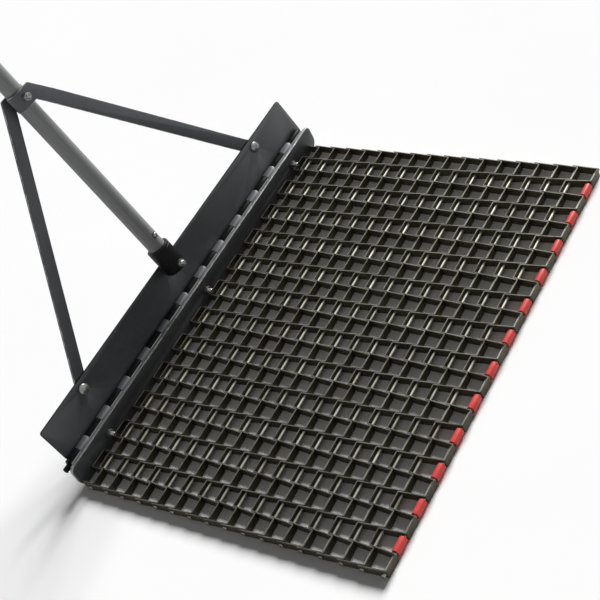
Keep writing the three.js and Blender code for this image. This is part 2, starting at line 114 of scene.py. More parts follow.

# pole
pole_radius = 12.7
pole_wall = 1.6
pole_offset = -14.2
pole_foot = 47
pole_length = 1370
pole_edge = 0.4
socket_radius = 17
socket_foot = 42
socket_rim = 87
socket_round = 6
socket_lip = 1.2
socket_groove_shares = (4, 3.5, 3, 2.5)    # of the lip: corners of the groove, down from the rim
socket_bolt_rise = 52
grip_radius = 15.95           # inside the flats of the plain form
grip_length = 125
grip_end_wall = 3.85
grip_round = 5
grip_groove = 1.1
grip_groove_pitch = 7.5
grip_groove_shares = (0.12, 0.3, 0.42)     # of the pitch: the floor's two ends and the next rib
grip_collar = 12
button_rise = 105.5
button_turn = 14
button_radius = 3.6
button_stand = 3.2
button_hole = 4.7
button_hole_shares = (0.5, 1.5)            # of the pole's radius: how far the hole's cutter reaches
button_flange_radius = 5.4
button_flange_thickness = 1.5

# braces
brace_thickness = 3
brace_width = 19
brace_edge = 0.5
brace_bolt_rise = 44.4
brace_bolt_inset = 86.5
brace_bend_past = 6
brace_upper_bend = 22
brace_bend_half = 5           # half the height over which a bend is rounded
clamp_rise = 364
clamp_band = 24

# fasteners
bolt_radius = 3
bolt_play = 0.2
bolt_past = 6
clamp_bolt_past = 2
dome_bolt_past = 3
nut_across = 10
nut_thickness = 5
nut_face_share = 0.96         # of half the width across flats: where an end face meets the chamfer
chamfer_slope = 30
head_thickness = 4
dome_radius = 8
dome_height = 4.2
dome_rim = 0.7
thread_pitch = 1
thread_depth = 0.45
seat_gap = 0.25

# steps of the round forms
round_steps = 48
hex_steps = 48
small_steps = 24
hole_stations = 4             # steps along a leg, past one hole
hole_steps = 2 * hole_stations + 4         # corners of the border that meets the hole's ring
hole_start = 210              # direction of the border's first corner
bend_steps = 4
roll_steps = 24
brace_bend_steps = 6
corner_steps = 8
axis_radius = 0.01            # of the smallest ring, where a turned form closes on its axis

# edges and material slots of the meshes
bevel_from = 40               # least angle between two faces whose edge is bevelled
bevel_segments = 2
sharp_from = 35               # least angle between two faces that aren't shaded as one
face_slot = 0
edge_slot = 1
# the third slot holds painted light: the leaf knuckles' highlight band and the tongues' lighter
# rolls
painted_light_slot = 2

flat_reach = rod_radius + flat_play + strip_thickness / 2
strip_outer_reach = flat_reach + strip_thickness / 2
leg_shift = (strip_thickness + leg_gap) * (rod_pitch + 2 * flat_reach) / (2 * rod_pitch)
mat_half = column_count * column_pitch / 2
rod_height = strip_height / 2
first_rod_x = bar_thickness / 2 + first_rod_past
rod_half = mat_half + leg_shift + strip_thickness / 2 + rod_end_past
knuckle_inner = (pin_radius + pin_play) / math.cos(math.radians(roll_sweep / roll_facets) / 2)
knuckle_outer = knuckle_inner + plate_thickness
knuckle_middle = knuckle_inner + plate_thickness / 2
plate_half = plate_width / 2
plate_inner = plate_half - plate_ear_width
plate_back = -knuckle_outer
plate_front = -knuckle_inner + seat_gap
hinge_pitch = (plate_width - plate_end_gap - plate_ear_width) / tongue_count
roll_length = math.radians(roll_sweep) * knuckle_middle
hinge_x = -(bar_thickness / 2 + seat_gap + knuckle_outer)
leaf_back = hinge_x + knuckle_inner
brace_bolt_reach = plate_half - brace_bolt_inset
brace_back = plate_back - seat_gap - brace_thickness - seat_gap
pole_x = -knuckle_inner + seat_gap + socket_radius
pole_inner = pole_radius - pole_wall
pole_bore = pole_radius + seat_gap         # of the socket and the grip
pole_top = pole_foot + pole_length
bolt_hole = bolt_radius + bolt_play

to_metres = Matrix.Scale(mm, 4)
along_x = Matrix.Rotation(math.radians(90), 4, "Y")
along_y = Matrix.Rotation(math.radians(-90), 4, "X")


def shifted(x=0, y=0, z=0):
    return Matrix.Translation((x, y, z))


lead_frame = (shifted(hinge_x, hinge_offset, hinge_height)
              @ Matrix.Rotation(-math.radians(plate_lean), 4, "Y"))
pole_frame = lead_frame @ shifted(pole_x, pole_offset)
button_frame = Matrix.Rotation(math.radians(button_turn), 4, "Z")


def rod_x(i):
    return first_rod_x + i * rod_pitch


def tongue_start(i):
    return -plate_half + plate_end_gap + i * hinge_pitch


leaf_start = -plate_half - leaf_past
leaf_end = tongue_start(tongue_count) - knuckle_gap
bar_bolt_pitch = ((leaf_end - leaf_start - leaf_start_inset - leaf_end_inset)
                  / (bar_bolt_count - 1))


def bar_bolt_y(i):
    return hinge_offset + leaf_start + leaf_start_inset + i * bar_bolt_pitch


# finishes: noise scales are per metre, and bump heights are in metres
bump_height = 0.0002
fine_bump_height = 0.0001
painted_light_span = (-60, 320)        # painted light: the coat is paler toward the bar's +Y end
painted_shade_span = (-330, 120)       # painted shade: the mat is darker toward the bar's -Y end
painted_shade_share = 0.35            # of the colour, where the painted shade is darkest
painted_shade_colour = (26, 22, 14)
dust = (128, 124, 116)
wear_softness = 0.12          # of the noise, from whole paint to bare steel
mix_first, mix_second, mix_result = 6, 7, 2             # the Mix node's sockets for colours


def colour(red, green, blue):
    """A shader's linear colour from sRGB values of 0 to 255."""
    def linear(value):
        share = value / 255
        return share / 12.92 if share <= 0.04045 else ((share + 0.055) / 1.055) ** 2.4
    return (linear(red), linear(green), linear(blue), 1)


class Finish:
    """A Principled shader with its noise textures in the coordinates of the piece."""

    def __init__(self, name, metallic=0, specular=0.5):
        self.material = bpy.data.materials.new(name)
        self.material.use_nodes = True
        self.nodes = self.material.node_tree.nodes
        self.links = self.material.node_tree.links
        self.shader = self.nodes["Principled BSDF"]
        self.shader.inputs["Metallic"].default_value = metallic
        self.shader.inputs["Specular IOR Level"].default_value = specular
        self.coordinates = self.nodes.new("ShaderNodeTexCoord").outputs["Object"]

    def noise(self, scale, detail=4, roughness=0.55, stretch=(1, 1, 1), lean=0):
        """Noise drawn out by stretch along each axis, after the piece's lean is taken out."""
        mapping = self.nodes.new("ShaderNodeMapping")
        mapping.vector_type = "TEXTURE"
        mapping.inputs["Scale"].default_value = stretch
        mapping.inputs["Rotation"].default_value = (0, -math.radians(lean), 0)
        self.links.new(self.coordinates, mapping.inputs["Vector"])
        node = self.nodes.new("ShaderNodeTexNoise")
        node.inputs["Scale"].default_value = scale
        node.inputs["Detail"].default_value = detail
        node.inputs["Roughness"].default_value = roughness
        self.links.new(mapping.outputs["Vector"], node.inputs["Vector"])
        return node.outputs["Fac"]

    def spread(self, factor, low, high, start=0.3, end=0.7):
        """Goes from low to high as the factor goes from start to end."""
        node = self.nodes.new("ShaderNodeMapRange")
        node.inputs["From Min"].default_value = start
        node.inputs["From Max"].default_value = end
        node.inputs["To Min"].default_value = low
        node.inputs["To Max"].default_value = high
        self.links.new(factor, node.inputs["Value"])
        return node.outputs["Result"]

    def patches(self, scale, start=0.3, end=0.7, **grain):
        """Noise as a share from 0 to 1."""
        return self.spread(self.noise(scale, **grain), 0, 1, start, end)

    def blend(self, factor, first, second):
        node = self.nodes.new("ShaderNodeMix")
        node.data_type = "RGBA"
        self.links.new(factor, node.inputs["Factor"])
        for index, value in ((mix_first, first), (mix_second, second)):
            if isinstance(value, tuple):
                node.inputs[index].default_value = value
            else:
                self.links.new(value, node.inputs[index])
        return node.outputs[mix_result]

    def along_bar(self, span, low, high):
        """Goes from low to high between two places along the bar, in millimetres."""
        start, end = span
        split = self.nodes.new("ShaderNodeSeparateXYZ")
        self.links.new(self.coordinates, split.inputs["Vector"])
        return self.spread(split.outputs["Y"], low, high, start * mm, end * mm)

    def with_painted_light(self, source, lit_colour):
        """The colour, going over to the lit colour toward the bar's +Y end if one is given: painted
        light.
        """
        if not lit_colour:
            return source
        return self.blend(self.along_bar(painted_light_span, 0, 1), source, colour(*lit_colour))

    def with_painted_shade(self, source):
        """The colour, darker toward the bar's -Y end: painted shade."""
        return self.blend(self.along_bar(painted_shade_span, painted_shade_share, 0), source, colour(*painted_shade_colour))

    def base(self, source):
        self.links.new(source, self.shader.inputs["Base Color"])

    def rough(self, factor, low, high):
        self.links.new(self.spread(factor, low, high), self.shader.inputs["Roughness"])

    def metal(self, source):
        self.links.new(source, self.shader.inputs["Metallic"])

    def bump(self, source, strength, height=bump_height):
        node = self.nodes.new("ShaderNodeBump")
        node.inputs["Strength"].default_value = strength
        node.inputs["Distance"].default_value = height
        self.links.new(source, node.inputs["Height"])
        self.links.new(node.outputs["Normal"], self.shader.inputs["Normal"])


def strip_steel():
    """Dark oiled flat wire with brown and grey patches."""
    finish = Finish("strip steel", metallic=0.35, specular=0.35)
    patches = finish.patches(38, start=0.35, end=0.65, detail=5)
    mottle = finish.blend(patches, colour(68, 62, 48), colour(94, 88, 71))
    stains = finish.patches(9, start=0.45, end=0.7, detail=3)
    # painted shade: darker toward the bar's -Y end
    finish.base(finish.with_painted_shade(finish.blend(stains, mottle, colour(70, 58, 44))))
    finish.rough(finish.noise(120, detail=3), low=0.38, high=0.62)
    finish.bump(finish.noise(900), strength=0.25)
    return finish.material


def strip_edge_steel():
    """Cut edges of the flat wire, rubbed lighter by use."""
    finish = Finish("strip edge steel", metallic=0.8)
    wear = finish.patches(45, start=0.3, end=0.62, detail=5, roughness=0.65)
    # painted shade: darker toward the bar's -Y end
    finish.base(finish.with_painted_shade(finish.blend(wear, colour(70, 67, 60), colour(118, 116, 109))))
    finish.rough(finish.noise(200, detail=3), low=0.3, high=0.52)
    finish.bump(finish.noise(1100, detail=3), strength=0.2)
    return finish.material


def rod_steel():
    """Bright drawn rod with faint lengthwise lines and dull patches."""
    finish = Finish("rod steel", metallic=0.9)
    dull = finish.patches(30, start=0.35, end=0.7)
    # painted shade: darker toward the bar's -Y end
    finish.base(finish.with_painted_shade(finish.blend(dull, colour(180, 177, 168), colour(124, 120, 108))))
    finish.rough(finish.noise(70, detail=3, stretch=(1, 10, 1)), low=0.28, high=0.48)
    lines = finish.noise(1500, detail=2, stretch=(1, 20, 1))
    finish.bump(lines, strength=0.15, height=fine_bump_height)
    return finish.material


def painted_steel(name, low, high, grain, dusty=0.22, lit_colour=None, shine=0.42):
    """Powder coat: fine orange peel, cloudy gloss and a little dust, with painted light toward the
    bar's +Y end if a lit colour is given.
    """
    finish = Finish(name, specular=shine)
    cloud = finish.patches(7, start=0.35, end=0.65)
    coat = finish.with_painted_light(finish.blend(cloud, colour(*low), colour(*high)), lit_colour)
    specks = finish.spread(finish.noise(160, detail=6, roughness=0.7), 0, dusty, start=0.5, end=0.8)
    finish.base(finish.blend(specks, coat, colour(*dust)))
    finish.rough(finish.noise(24), low=0.34, high=0.52)
    finish.bump(finish.noise(grain, detail=2, roughness=0.4), strength=0.12)
    return finish.material


def wear_and_painted_light(name, coat, steel, most=0.58, lit_colour=None):
    """Worn edges of the coated plates, where bare steel shows through in parts; also the painted
    highlight band on the leaf knuckles, and painted light toward the bar's +Y end if a lit colour
    is given.
    """
    finish = Finish(name)
    bare = finish.patches(90, start=most - wear_softness, end=most, detail=6, roughness=0.7)
    finish.base(finish.with_painted_light(finish.blend(bare, colour(*coat), colour(*steel)), lit_colour))
    finish.metal(bare)
    finish.rough(finish.noise(150, detail=3), low=0.28, high=0.5)
    finish.bump(bare, strength=0.3)
    return finish.material


def zinc():
    """Zinc plate with its faint crystal patches."""
    finish = Finish("zinc plate", metallic=0.7)
    patches = finish.patches(260, start=0.35, end=0.65, detail=3)
    finish.base(finish.blend(patches, colour(112, 113, 112), colour(150, 150, 147)))
    finish.rough(finish.noise(420, detail=3), low=0.22, high=0.42)
    finish.bump(finish.noise(1300, detail=3), strength=0.12, height=fine_bump_height)
    return finish.material


def satin_tube():
    """Satin grey tube with fine drawn lines along it."""
    finish = Finish("satin tube", specular=0.05)
    lines = finish.patches(320, detail=3, stretch=(1, 1, 50), lean=plate_lean)
    finish.base(finish.blend(lines, colour(138, 139, 140), colour(154, 155, 155)))
    finish.rough(finish.noise(18), low=0.46, high=0.6)
    grooves = finish.noise(900, detail=2, stretch=(1, 1, 30), lean=plate_lean)
    finish.bump(grooves, strength=0.08, height=fine_bump_height)
    return finish.material


def black_plastic():
    """Black moulded nylon with a fine spark texture."""
    finish = Finish("black nylon", specular=0.14)
    finish.base(finish.blend(finish.patches(60), colour(9, 9, 10), colour(16, 16, 17)))
    finish.rough(finish.noise(180), low=0.34, high=0.55)
    finish.bump(finish.noise(2600, detail=2), strength=0.3, height=fine_bump_height)
    return finish.material


def rubber():
    """Black grip rubber, matt, with a pebbled skin."""
    finish = Finish("grip rubber", specular=0.3)
    finish.base(finish.blend(finish.patches(50), colour(22, 22, 23), colour(36, 36, 36)))
    finish.rough(finish.noise(220, detail=3), low=0.62, high=0.85)
    finish.bump(finish.noise(1900, detail=3), strength=0.4)
    return finish.material


def red_plastic():
    """Red sleeve plastic, semi-gloss, a little scuffed and dusty."""
    finish = Finish("red sleeve plastic")
    body = finish.blend(finish.patches(55), colour(196, 48, 44), colour(214, 66, 58))
    scratches = finish.noise(420, detail=5, roughness=0.7, stretch=(1, 3, 1))
    scuffs = finish.spread(scratches, 0, 0.5, start=0.56, end=0.75)
    finish.base(finish.blend(scuffs, body, colour(150, 92, 84)))
    finish.rough(finish.noise(160, detail=3), low=0.3, high=0.5)
    finish.bump(finish.noise(700, detail=3), strength=0.15)
    return finish.material


finishes = {
    "strip": strip_steel(),
    "strip edge": strip_edge_steel(),
    "rod": rod_steel(),
    # painted light: the plate coat is paler toward the bar's +Y end
    "plate": painted_steel("plate coat", (70, 73, 76), (84, 87, 90), grain=1400,
                           lit_colour=(98, 100, 103)),
    "bar": painted_steel("bar coat", (73, 75, 76), (89, 91, 93), grain=1200, shine=0.3),
    # painted shade: near-black with almost no gloss, standing for the shade in the gaps between the
    # tongues; the pin and the plate's edges use it too
    "leaf": painted_steel("leaf painted shade", (8, 9, 10), (14, 15, 16), grain=1200, dusty=0.03,
                          shine=0.05),
    # painted light: the tongues' rolls are lighter than the plate, and paler still toward the bar's
    # +Y end
    "tongue": painted_steel("tongue coat and painted light", (120, 123, 125), (138, 141, 144), grain=1400,
                            lit_colour=(164, 167, 170)),
    # painted highlight: the light band along the leaf knuckles, paler toward the bar's +Y end
    "leaf highlight": wear_and_painted_light("leaf painted highlight", (116, 117, 117), (130, 130, 129), most=0.4,
                         lit_colour=(146, 147, 147)),
    "brace": painted_steel("brace coat", (70, 73, 78), (84, 87, 91), grain=1500),
    "worn": wear_and_painted_light("worn paint", (98, 101, 104), (182, 182, 179)),
    # the bar's worn edge paint, with painted light toward the bar's +Y end
    "bar edge": wear_and_painted_light("worn bar edge", (104, 106, 107), (134, 134, 132),
                           lit_colour=(140, 141, 141)),
    "zinc": zinc(),
    "tube": satin_tube(),
    "plastic": black_plastic(),
    "rubber": rubber(),
    "red": red_plastic(),
}


# pieces
def add_object(name, data):
    """An object in the scene for a mesh, a lamp or a camera."""
    made = bpy.data.objects.new(name, data)
    bpy.context.scene.collection.objects.link(made)
    return made


def piece(name, mesh, place, body, looks, stands_for=()):
    """Makes a piece from a mesh in millimetres, with its place worked into the mesh."""
    mesh.transform(to_metres @ place)
    for i, look in enumerate(looks):
        if i < len(mesh.materials):
            mesh.materials[i] = finishes[look]
        else:
            mesh.materials.append(finishes[look])
    for polygon in mesh.polygons:
        polygon.use_smooth = True
    mesh.set_sharp_from_angle(angle=math.radians(sharp_from))
    made = add_object(name, mesh)
    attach(made, body)
    if stands_for:
        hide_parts(*stands_for)


def fastener(name, mesh, place, body, node):
    """A zinc-plated bolt, nut or button, made along Z and turned to +X of its place."""
    piece(name, mesh, place @ along_x, body, ["zinc"], [node])


def to_mesh(bm):
    bmesh.ops.recalc_face_normals(bm, faces=bm.faces)
    mesh = bpy.data.meshes.new("mesh")
    bm.to_mesh(mesh)
    bm.free()
    return mesh


def with_modifiers(mesh, *steps):
    """The mesh after modifiers, each given as (type, settings)."""
    holder = add_object("holder", mesh)
    for kind, settings in steps:
        modifier = holder.modifiers.new(kind, kind)
        for key, value in settings.items():
            setattr(modifier, key, value)
    graph = bpy.context.evaluated_depsgraph_get()
    made = bpy.data.meshes.new_from_object(holder.evaluated_get(graph))
    bpy.data.objects.remove(holder)
    return made


def arc(x, y, radius, start, end, steps=corner_steps):
    """Points of an arc, both ends included."""
    angles = [math.radians(start + (end - start) * i / steps) for i in range(steps + 1)]
    return [(x + radius * math.cos(a), y + radius * math.sin(a)) for a in angles]


def circle(x, y, radius):
    return arc(x, y, radius, 0, 360, small_steps)[:-1]


def between(start, end, steps):
    return [start + (end - start) * i / steps for i in range(steps + 1)]


def left_of(along):
    """The direction square to a level one, on its left."""
    return Vector((-along.y, along.x))


def sheet(outline, holes, levels, lay, thickness, edge, rim_slot=face_slot):
    """Sheet metal: a flat blank is cut at the bend levels, laid in space and made thick."""
    bm = bmesh.new()
    edges = []
    for loop in (outline, *holes):
        corners = [bm.verts.new((u, v, 0)) for u, v in loop]
        edges += [bm.edges.new(pair) for pair in zip(corners, corners[1:] + corners[:1])]
    bmesh.ops.triangle_fill(bm, use_beauty=True, edges=edges, normal=(0, 0, 1))
    for axis, level in levels:
        along = Vector((1, 0, 0)) if axis == "u" else Vector((0, 1, 0))
        bmesh.ops.bisect_plane(bm, geom=bm.verts[:] + bm.edges[:] + bm.faces[:],
                               plane_co=along * level, plane_no=along)
    for vert in bm.verts:
        vert.co = lay(vert.co.x, vert.co.y)
    flat = to_mesh(bm)
    for _ in (face_slot, edge_slot):         # the modifiers keep to the slots that exist
        flat.materials.append(None)
    solidify = ("SOLIDIFY", {"thickness": thickness, "offset": 0, "use_even_offset": True,
                             "material_offset_rim": rim_slot})
    bevel = ("BEVEL", {"width": edge, "segments": bevel_segments, "limit_method": "ANGLE",
                       "angle_limit": math.radians(bevel_from), "material": edge_slot,
                       "use_clamp_overlap": False, "harden_normals": False})
    return with_modifiers(flat, solidify, bevel)


def ring_surface(rings, closed=False):
    """Rings of points joined in order, with an end face on the first and last unless closed."""
    bm = bmesh.new()
    made = [[bm.verts.new(point) for point in ring] for ring in rings]
    pairs = list(zip(made, made[1:] + made[:1])) if closed else list(zip(made, made[1:]))
    for low, high in pairs:
        for i in range(len(low)):
            j = (i + 1) % len(low)
            bm.faces.new((low[i], low[j], high[j], high[i]))
    if not closed:
        bm.faces.new(made[0])
        bm.faces.new(made[-1])
    return bm


def turned_rings(profile, steps):
    angles = [2 * math.pi * i / steps for i in range(steps)]
    return [[(r * math.cos(a), r * math.sin(a), z) for a in angles] for r, z in profile]


def turned(profile, steps=round_steps, closed=False):
    """A profile of (radius, height) points, turned round Z."""
    return to_mesh(ring_surface(turned_rings(profile, steps), closed))


def joined(*meshes):
    bm = bmesh.new()
    for mesh in meshes:
        bm.from_mesh(mesh)
    made = bpy.data.meshes.new("mesh")
    bm.to_mesh(made)
    bm.free()
    return made


# fasteners
def hexagon_radius(angle):
    turn = math.radians(60)
    return nut_across / 2 / math.cos(angle % turn - turn / 2)


def hexagon_rings(low, high, chamfer_low, chamfer_high):
    """Outer rings of a nut or head: its corners are turned off to a cone at either end."""
    flat = nut_across / 2 * nut_face_share
    slope = math.tan(math.radians(chamfer_slope))
    angles = [2 * math.pi * i / hex_steps for i in range(hex_steps)]

    def outer(z, sign, chamfered):
        ring = []
        for a in angles:
            r = hexagon_radius(a)
            drop = (r - flat) * slope if chamfered else 0
            ring.append((r * math.cos(a), r * math.sin(a), z - sign * drop))
        return ring
    face = [(flat * math.cos(a), flat * math.sin(a)) for a in angles]
    return [[(x, y, low) for x, y in face], outer(low, -1, chamfer_low),
            outer(high, 1, chamfer_high), [(x, y, high) for x, y in face]]


def nut():
    """Hexagon nut standing on z = 0, both ends chamfered, with a countersunk bore."""
    outer = hexagon_rings(0, nut_thickness, True, True)
    lip = thread_depth
    inner = turned_rings([(bolt_hole + lip, nut_thickness), (bolt_hole, nut_thickness - lip),
                          (bolt_hole, lip), (bolt_hole + lip, 0)], hex_steps)
    return to_mesh(ring_surface(outer + inner, closed=True))


def shank(start, thread_start, end):
    """Round shank with turned thread grooves between thread_start and end."""
    minor = bolt_radius - thread_depth
    profile = [(axis_radius, start), (bolt_radius, start), (bolt_radius, thread_start)]
    z = thread_start
    while z + thread_pitch < end - thread_depth:
        profile += [(minor, z + thread_pitch / 2), (bolt_radius, z + thread_pitch)]
        z += thread_pitch
    profile += [(minor, end), (axis_radius, end)]
    return turned(profile, small_steps)


def hex_bolt(grip, past):
    """Hexagon head below z = 0, shank and thread above it."""
    head = to_mesh(ring_surface(hexagon_rings(-head_thickness, 0, True, False)))
    return joined(head, shank(-seat_gap, grip, grip + nut_thickness + past))


def dome_bolt(grip):
    """Carriage bolt: flat dome above z = 0, shank below it."""
    side = dome_rim / 2
    steps = corner_steps * 2
    profile = [(axis_radius, 0), (dome_radius - side, 0), (dome_radius, side)]
    for i in range(1, steps):
        a = math.pi / 2 * i / steps
        profile.append((dome_radius * math.cos(a), side + (dome_height - side) * math.sin(a)))
    profile.append((axis_radius, dome_height))
    stem = shank(-seat_gap, grip, grip + nut_thickness + dome_bolt_past)
    stem.transform(Matrix.Rotation(math.pi, 4, "X"))
    return joined(turned(profile), stem)


# mat
def wave(near_x, far_x, end_x, near_shift, far_shift):
    """Corners of a strip in plan: near and far end of each leg in turn."""
    path = []
    for k in range(column_count + 1):
        y = -mat_half + k * column_pitch
        to_odd = -1 if k % 2 == 0 else 1
        last = k in (0, column_count)
        near = Vector((end_x if last else near_x, y + to_odd * near_shift))
        far = Vector((far_x, y - to_odd * far_shift))
        path += [near, far] if k % 2 == 0 else [far, near]
    return path


def strip_stations(path, rods):
    """Places along the wire: (point, direction, hole, step in the mesh round that hole)."""
    def trim(i):
        """Length that the bend at a corner takes off the straight runs beside it."""
        if i in (0, len(path) - 1):
            return 0
        turn = (path[i] - path[i - 1]).angle(path[i + 1] - path[i])
        return strip_bend * math.tan(turn / 2)

    stations = []
    for i in range(len(path) - 1):
        along = (path[i + 1] - path[i]).normalized()
        start = path[i] + along * trim(i)
        end = path[i + 1] - along * trim(i + 1)
        length = (end - start).length
        is_leg = i % 2 == 0                  # the runs between the legs have no holes
        middles = sorted((rod - start.x) / along.x for rod in rods) if is_leg else []
        holes = [(max(0, middle - hole_reach), middle, min(length, middle + hole_reach))
                 for middle in middles]
        if not holes or holes[0][0] > 0:
            stations.append((start, along, None, 0))
        for low, middle, high in holes:
            centre = start + along * middle
            for step, s in enumerate(between(low, high, hole_stations)):
                stations.append((start + along * s, along, centre, step))
        if not holes or holes[-1][2] < length:
            stations.append((end, along, None, 0))
        if i < len(path) - 2:
            after = (path[i + 2] - path[i + 1]).normalized()
            turn = math.atan2(along.cross(after), along.dot(after))
            side = left_of(along) * math.copysign(1, turn)
            centre = end + side * strip_bend
            for step in range(1, bend_steps):
                part = Matrix.Rotation(turn * step / bend_steps, 2)
                stations.append((centre - part @ side * strip_bend, part @ along, None, 0))
    return stations


def strip_section(bm, point, along, holed):
    """Corners of the wire's section on its left (1) and right (-1) side."""
    side = left_of(along)
    half = strip_thickness / 2
    section = {}
    for sign in (1, -1):
        outer = point + side * sign * half
        inner = point + side * sign * (half - strip_edge)
        section[sign] = {
            "low": bm.verts.new((*outer, strip_edge)),
            "high": bm.verts.new((*outer, strip_height - strip_edge)),
            "top": bm.verts.new((*inner, strip_height)),
            "foot": bm.verts.new((*inner, 0)),
            "middle": bm.verts.new((*outer, rod_height)) if holed else None}
    return section


def side_loop(section, sign):
    names = ("low", "middle", "high")
    return [section[sign][name] for name in names if section[sign][name]]


def edge_faces(bm, first, second):
    """The chamfers and the narrow faces between two sections."""
    for top, side in (("top", "high"), ("foot", "low")):
        for sign in (1, -1):
            bm.faces.new((first[sign][side], second[sign][side], second[sign][top],
                          first[sign][top])).material_index = edge_slot
        bm.faces.new((first[1][top], second[1][top], second[-1][top],
                      first[-1][top])).material_index = edge_slot


def hole_faces(bm, patch, hole, along):
    """The wide faces of the sections round a hole, and the hole's wall."""
    side = left_of(along)
    rings = []
    for sign in (1, -1):
        border = [part[sign]["low"] for part in patch] + [patch[-1][sign]["middle"]]
        border += [part[sign]["high"] for part in reversed(patch)] + [patch[0][sign]["middle"]]
        ring = []
        for j in range(hole_steps):
            a = math.radians(hole_start + 360 / hole_steps * j)
            point = hole + along * strip_hole * math.cos(a) + side * sign * (strip_thickness / 2)
            ring.append(bm.verts.new((*point, rod_height + strip_hole * math.sin(a))))
        for j in range(hole_steps):
            k = (j + 1) % hole_steps
            bm.faces.new((border[j], border[k], ring[k], ring[j]))
        rings.append(ring)
    for j in range(hole_steps):
        k = (j + 1) % hole_steps
        bm.faces.new((rings[0][j], rings[0][k], rings[1][k], rings[1][j]))


def strip_mesh(path, rods):
    """Flat wire on edge, swept along its stations, with a round hole at each rod."""
    stations = strip_stations(path, rods)
    bm = bmesh.new()
    sections = [strip_section(bm, point, along, hole and step in (0, hole_stations))
                for point, along, hole, step in stations]
    for i in range(len(stations) - 1):
        first, second = sections[i], sections[i + 1]
        edge_faces(bm, first, second)
        along, hole, step = stations[i][1:]
        if not hole or step == hole_stations:
            for sign in (1, -1):
                bm.faces.new(side_loop(first, sign) + side_loop(second, sign)[::-1])
        elif step == 0:
            hole_faces(bm, sections[i:i + hole_stations + 1], hole, along)
    for section in (sections[0], sections[-1]):
        bm.faces.new([section[1]["foot"], *side_loop(section, 1), section[1]["top"],
                      section[-1]["top"], *side_loop(section, -1)[::-1], section[-1]["foot"]])
    return to_mesh(bm)


def rod_mesh():
    """Drawn rod with a small peened head at either end."""
    neck = rod_half - rod_head_length
    soft = rod_head_length / 3
    end = [(rod_radius, neck), (rod_head_radius - soft / 2, neck + soft / 2),
           (rod_head_radius, neck + soft), (rod_head_radius, rod_half - soft),
           (rod_head_radius - soft, rod_half), (axis_radius, rod_half)]
    return turned([(r, -z) for r, z in reversed(end)] + end, small_steps)


def sleeve_mesh(length):
    """Red sleeve: a thick tube with rounded ends."""
    inner = sleeve_radius - sleeve_wall
    half = length / 2
    rounding = arc(half - sleeve_round, sleeve_radius - sleeve_round, sleeve_round, 90, 0)
    right = [(r, z) for z, r in rounding]
    profile = [(inner, -half)] + [(r, -z) for r, z in reversed(right)] + right + [(inner, half)]
    return turned(profile, small_steps, closed=True)


def row_body(i):
    """The body of rod i: the bar for the first one, and a row for each of the others."""
    return f"row_{i:02d}" if i else "bar"


def make_mat():
    near, far = -flat_reach, rod_pitch + flat_reach
    strip_path = wave(near, far, -strip_outer_reach, leg_shift, leg_shift)
    anchor_near = -first_rod_past + seat_gap + strip_thickness / 2
    anchor_path = wave(anchor_near, flat_reach, anchor_near - strip_thickness / 2,
                       -leg_shift, leg_shift)
    steel = ["strip", "strip edge"]
    piece("anchor_strip_wire", strip_mesh(anchor_path, [0]), shifted(rod_x(0), mat_offset),
          "bar", steel, ["anchor_strip"])
    for i in range(1, row_count + 1):
        piece(f"strip_{i:02d}_wire", strip_mesh(strip_path, [0, rod_pitch]),
              shifted(rod_x(i - 1), mat_offset), row_body(i), steel,
              [f"strip_{i:02d}"])
    for i in range(row_count + 1):
        node = f"rod_{i:02d}_sleeves" if i == row_count else f"rod_{i:02d}"
        piece(f"rod_{i:02d}_bar", rod_mesh(), shifted(rod_x(i), mat_offset, rod_height) @ along_y,
              row_body(i), ["rod"], [node])
    inset = leg_shift + strip_thickness / 2 + sleeve_gap
    for column in range(1, column_count, 2):
        y = mat_offset - mat_half + (column + 0.5) * column_pitch
        piece(f"red_sleeve_{(column + 1) // 2:02d}", sleeve_mesh(column_pitch - 2 * inset),
              shifted(rod_x(row_count), y, rod_height) @ along_y,
              row_body(row_count), ["red"])


# bar, hinge and leader plate
roll_levels = between(0, roll_length, roll_steps)[:-1]


def turn_round_pin(face):
    return math.degrees(math.atan2(face.center.z, face.center.x))


def make_bar():
    """Flat bar with rounded corners and a hole for each bolt."""
    half, foot, top = bar_length / 2, bar_foot_radius, bar_top_radius
    outline = (arc(half - foot, foot, foot, -90, 0) + arc(half - top, bar_height - top, top, 0, 90)
               + arc(-half + top, bar_height - top, top, 90, 180)
               + arc(-half + foot, foot, foot, 180, 270))
    holes = [circle(bar_bolt_y(i), bar_bolt_height, bolt_hole) for i in range(bar_bolt_count)]
    mesh = sheet(outline, holes, [], lambda u, v: (0, u, v), bar_thickness, bar_edge, edge_slot)
    piece("flat_bar", mesh, Matrix(), "bar", ["bar", "bar edge"],
          ["mat_bar"])


